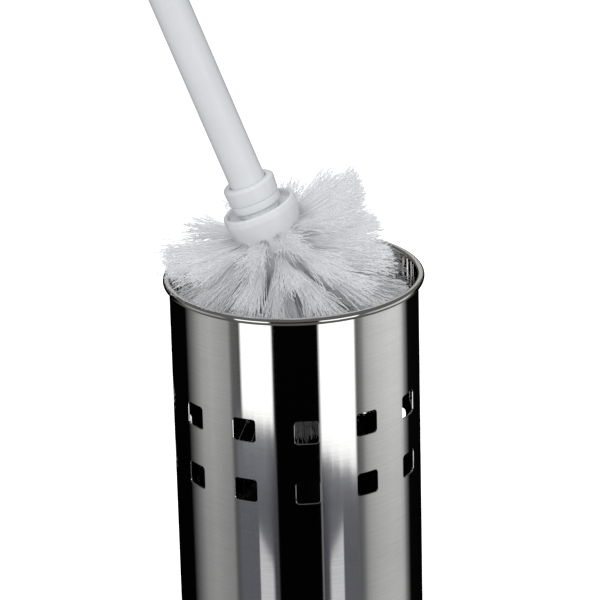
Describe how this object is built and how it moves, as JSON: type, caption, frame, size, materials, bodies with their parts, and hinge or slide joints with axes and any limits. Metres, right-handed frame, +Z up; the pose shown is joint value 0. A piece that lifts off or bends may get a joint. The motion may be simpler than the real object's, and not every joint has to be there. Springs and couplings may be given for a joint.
{
  "type": "toilet brush holder",
  "caption": "Stainless cylinder toilet brush holder with perforated side, removable drip cup and a white brush standing tilted in its mouth.",
  "frame": {"origin": "centre of the underside of the anti-slip pad, where the holder stands on the floor", "axes": "+Z up along the holder's cylinder; the brush leans towards -X in the plane Y = 0; -Y is the side seen from the front"},
  "size_m": [0.171, 0.1, 0.5564],
  "materials": {
    "polished_steel": "polished",
    "plain_steel": "satin",
    "white_plastic": "satin",
    "black_plastic": "matte",
    "grey_plastic": "matte",
    "white_nylon": "matte",
    "black_rubber": "matte"
  },
  "bodies": {
    "holder": {"holder_shell": "polished_steel", "base_cap": "black_plastic", "anti_slip_pad": "black_rubber", "bottom_plate": "plain_steel"},
    "liner": {"drip_cup": "grey_plastic"},
    "handle": {"handle_ferrule": "white_plastic", "handle_rod": "white_plastic", "tie_rod": "plain_steel", "tie_nut": "plain_steel", "lid_insert": "white_plastic", "lid_plate": "polished_steel", "grip_core": "white_plastic", "grip_tube": "polished_steel", "grip_cap": "polished_steel"},
    "head": {"brush_hub": "white_plastic", "bristle_row_1": "white_nylon", "bristle_row_2": "white_nylon", "bristle_row_3": "white_nylon", "bristle_row_4": "white_nylon", "bristle_row_5": "white_nylon", "bristle_row_6": "white_nylon", "bristle_row_7": "white_nylon", "bristle_end_tuft": "white_nylon"}
  },
  "joints": [
    {"name": "brush_lift", "type": "slide", "parent": "holder", "child": "handle", "axis": [-0.3535, 0, 0.9354], "range_m": [0, 0.15]},
    {"name": "head_unscrew", "type": "hinge", "parent": "handle", "child": "head", "pos_m": [-0.01281, 0, 0.29256], "axis": [0.3535, 0, -0.9354], "range_deg": [0, 1080]},
    {"name": "cup_lift", "type": "slide", "parent": "holder", "child": "liner", "axis": [0, 0, 1], "range_m": [0, 0.11]}
  ]
}
